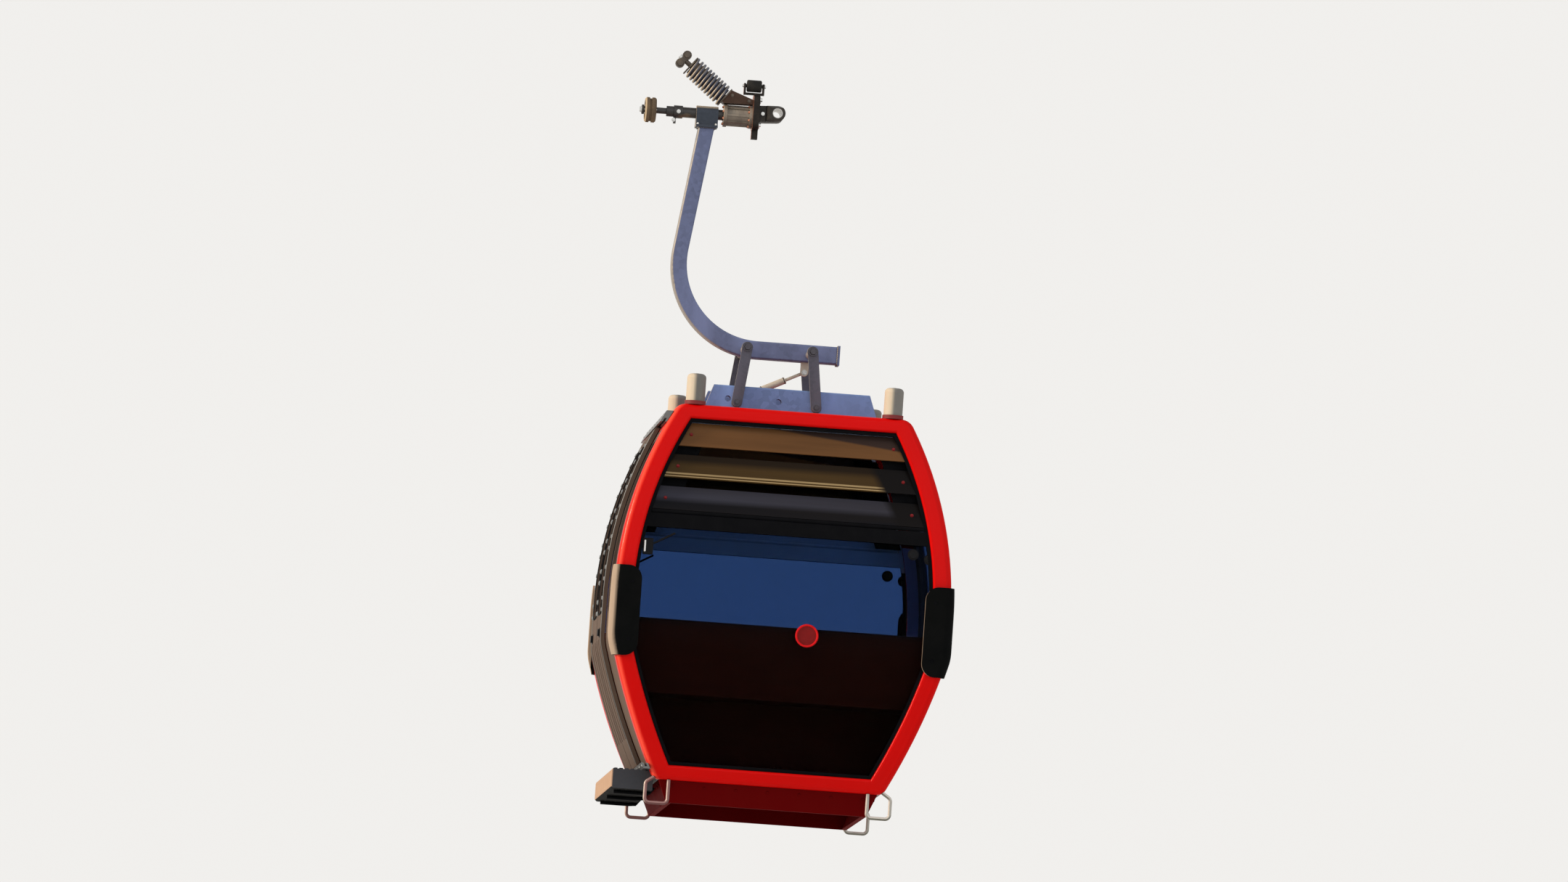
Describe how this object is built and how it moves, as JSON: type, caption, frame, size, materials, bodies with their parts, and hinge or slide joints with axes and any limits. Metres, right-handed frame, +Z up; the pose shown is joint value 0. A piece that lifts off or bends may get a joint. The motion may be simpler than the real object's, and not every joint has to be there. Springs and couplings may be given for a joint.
{
  "type": "cable car cabin",
  "caption": "Barrel-shaped gondola cabin with sliding doors on one side, hung by a bent hanger arm from a spring-loaded grip that clamps the haul rope.",
  "frame": {"origin": "middle of the haul rope in the grip's jaws", "axes": "+Z up, +Y along the rope in the direction of travel, +X across it away from the doors"},
  "size_m": [1.956, 1.936, 4.3556],
  "materials": {
    "red_paint": "gloss red paint",
    "anthracite_paint": "satin anthracite paint",
    "dark_red_paint": "dull dark red paint",
    "black_rubber": "matt black rubber",
    "blue_glass": "blue tinted clear pane",
    "slat_glass": "smoked louvre glass",
    "galvanised": "dull galvanised steel",
    "cream_post": "weathered pale plastic",
    "dark_steel": "greased dark steel",
    "tan_paint": "tan paint on a casting",
    "alloy": "anodised aluminium",
    "black_board": "ribbed black board",
    "grey_lining": "pale grey lining",
    "bench_shell": "dark moulded bench",
    "pad_fabric": "dark woven seat cloth"
  },
  "bodies": {
    "grip": {"grip_housing": "tan_paint", "grip_shaft": "dark_steel", "lever_plate": "dark_steel", "fixed_jaw": "dark_steel", "moving_jaw": "dark_steel", "grip_spring": "dark_steel", "spring_rod": "dark_steel", "spring_fork": "dark_steel"},
    "carriage": {"hanger_head": "galvanised", "hanger_arm": "galvanised", "cross_shafts": "galvanised", "suspension_links": "galvanised", "link_pins": "galvanised", "damper": "galvanised", "roof_beam_front": "galvanised", "roof_beam_rear": "galvanised", "roof_posts": "cream_post", "end_frame_front": "red_paint", "end_frame_rear": "red_paint", "bumper_pads": "black_rubber", "roof": "red_paint", "ceiling": "grey_lining", "floor": "grey_lining", "underframe": "dark_red_paint", "side_wall_plain": "anthracite_paint", "side_glass_plain": "blue_glass", "side_wall_door_front": "anthracite_paint", "side_wall_door_rear": "anthracite_paint", "side_glass_door_front": "blue_glass", "side_glass_door_rear": "blue_glass", "end_glass_front": "blue_glass", "end_glass_rear": "blue_glass", "window_gasket_front": "black_rubber", "window_gasket_rear": "black_rubber", "vent_slats_front": "slat_glass", "vent_slats_rear": "slat_glass", "door_rail_top": "alloy", "door_rail_bottom": "alloy", "footboard": "black_board", "guide_hoops": "galvanised", "bench_front": "bench_shell", "bench_rear": "bench_shell", "seat_pad_front": "pad_fabric", "seat_pad_rear": "pad_fabric"},
    "running_wheel": {"running_wheel": "black_rubber"},
    "lever_roller": {"lever_roller": "black_rubber"},
    "door_front": {"door_leaf_front": "anthracite_paint", "door_glass_front": "blue_glass"},
    "door_rear": {"door_leaf_rear": "anthracite_paint", "door_glass_rear": "blue_glass"}
  },
  "joints": [
    {"name": "hanger_swing", "type": "hinge", "parent": "grip", "child": "carriage", "pos_m": [-0.397, 0, -0.025], "axis": [1, 0, 0], "range_deg": [-35, 35]},
    {"name": "wheel_spin", "type": "hinge", "parent": "grip", "child": "running_wheel", "pos_m": [-0.722, 0, -0.025], "axis": [1, 0, 0], "continuous": true},
    {"name": "roller_spin", "type": "hinge", "parent": "grip", "child": "lever_roller", "pos_m": [-0.138, 0, 0.154], "axis": [1, 0, 0], "continuous": true},
    {"name": "door_slide_rear", "type": "slide", "parent": "carriage", "child": "door_rear", "axis": [0, 1, 0], "range_m": [0, 0.405]},
    {"name": "door_slide_front", "type": "slide", "parent": "carriage", "child": "door_front", "axis": [0, -1, 0], "range_m": [0, 0.405]}
  ],
  "couplings": [
    {"joint": "door_slide_front", "follows": "door_slide_rear", "ratio": 1}
  ]
}
